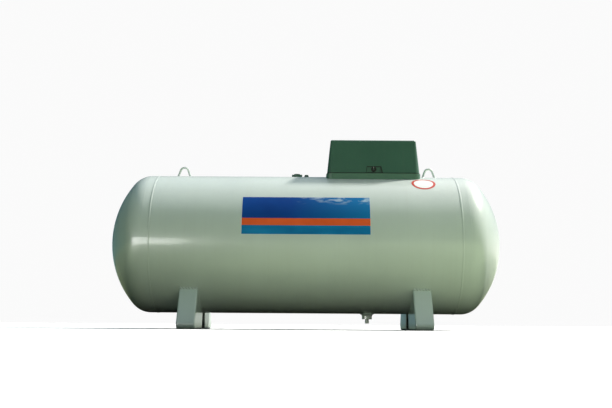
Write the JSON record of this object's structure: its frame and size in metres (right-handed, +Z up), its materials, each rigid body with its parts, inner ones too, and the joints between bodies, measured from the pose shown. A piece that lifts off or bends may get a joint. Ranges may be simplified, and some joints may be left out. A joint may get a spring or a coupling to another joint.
{
  "type": "horizontal pressure tank",
  "caption": "Horizontal pressure tank for liquefied gas: rolled barrel with dished ends on folded feet, with lifting lugs, a drain and a hinged hood over its valves.",
  "frame": {"origin": "on the ground, under the middle of the tank", "axes": "+X along the tank's axis towards the hood's end, +Z up; the hood's lock faces -Y"},
  "size_m": [2.8166, 1.0044, 1.37],
  "materials": {
    "tank_paint": "glossy pale grey-green coating",
    "hood_paint": "semi-gloss dark green coating",
    "brass": "machined and hot-stamped brass",
    "steel": "zinc-plated",
    "black_plastic": "moulded, matt",
    "red_plastic": "moulded, matt",
    "dial": "clear cover over a plain dial",
    "vinyl": "printed adhesive film"
  },
  "bodies": {
    "root": {"barrel": "tank_paint", "drain_boss": "tank_paint", "drain_plug": "steel", "fill_boss": "tank_paint", "fill_cap": "black_plastic", "fill_valve": "brass", "front_left_foot": "tank_paint", "front_left_foot_weld": "tank_paint", "front_right_foot": "tank_paint", "front_right_foot_weld": "tank_paint", "gauge_flange": "tank_paint", "hood_collar": "hood_paint", "left_girth_weld": "tank_paint", "left_head": "tank_paint", "left_hinge_base": "hood_paint", "left_hinge_pin": "steel", "left_lifting_lug": "tank_paint", "level_gauge": "dial", "liquid_boss": "tank_paint", "liquid_cap": "black_plastic", "liquid_valve": "brass", "rear_left_foot": "tank_paint", "rear_left_foot_weld": "tank_paint", "rear_right_foot": "tank_paint", "rear_right_foot_weld": "tank_paint", "relief_boss": "tank_paint", "relief_cap": "black_plastic", "relief_valve": "brass", "right_girth_weld": "tank_paint", "right_head": "tank_paint", "right_hinge_base": "hood_paint", "right_hinge_pin": "steel", "right_lifting_lug": "tank_paint", "service_boss": "tank_paint", "service_valve": "brass", "service_wheel": "red_plastic", "spare_boss": "hood_paint", "spare_plug": "hood_paint", "vent_boss": "hood_paint", "vent_plug": "hood_paint"},
    "lid": {"hood_lid": "hood_paint", "lock_pocket": "hood_paint", "lock_ring": "black_plastic", "left_hinge_leaf": "hood_paint", "right_hinge_leaf": "hood_paint"}
  },
  "joints": [
    {"name": "lid_hinge", "type": "hinge", "parent": "root", "child": "lid", "pos_m": [0.486, 0.204, 1.12], "axis": [-1, 0, 0], "range_deg": [0, 105]}
  ]
}
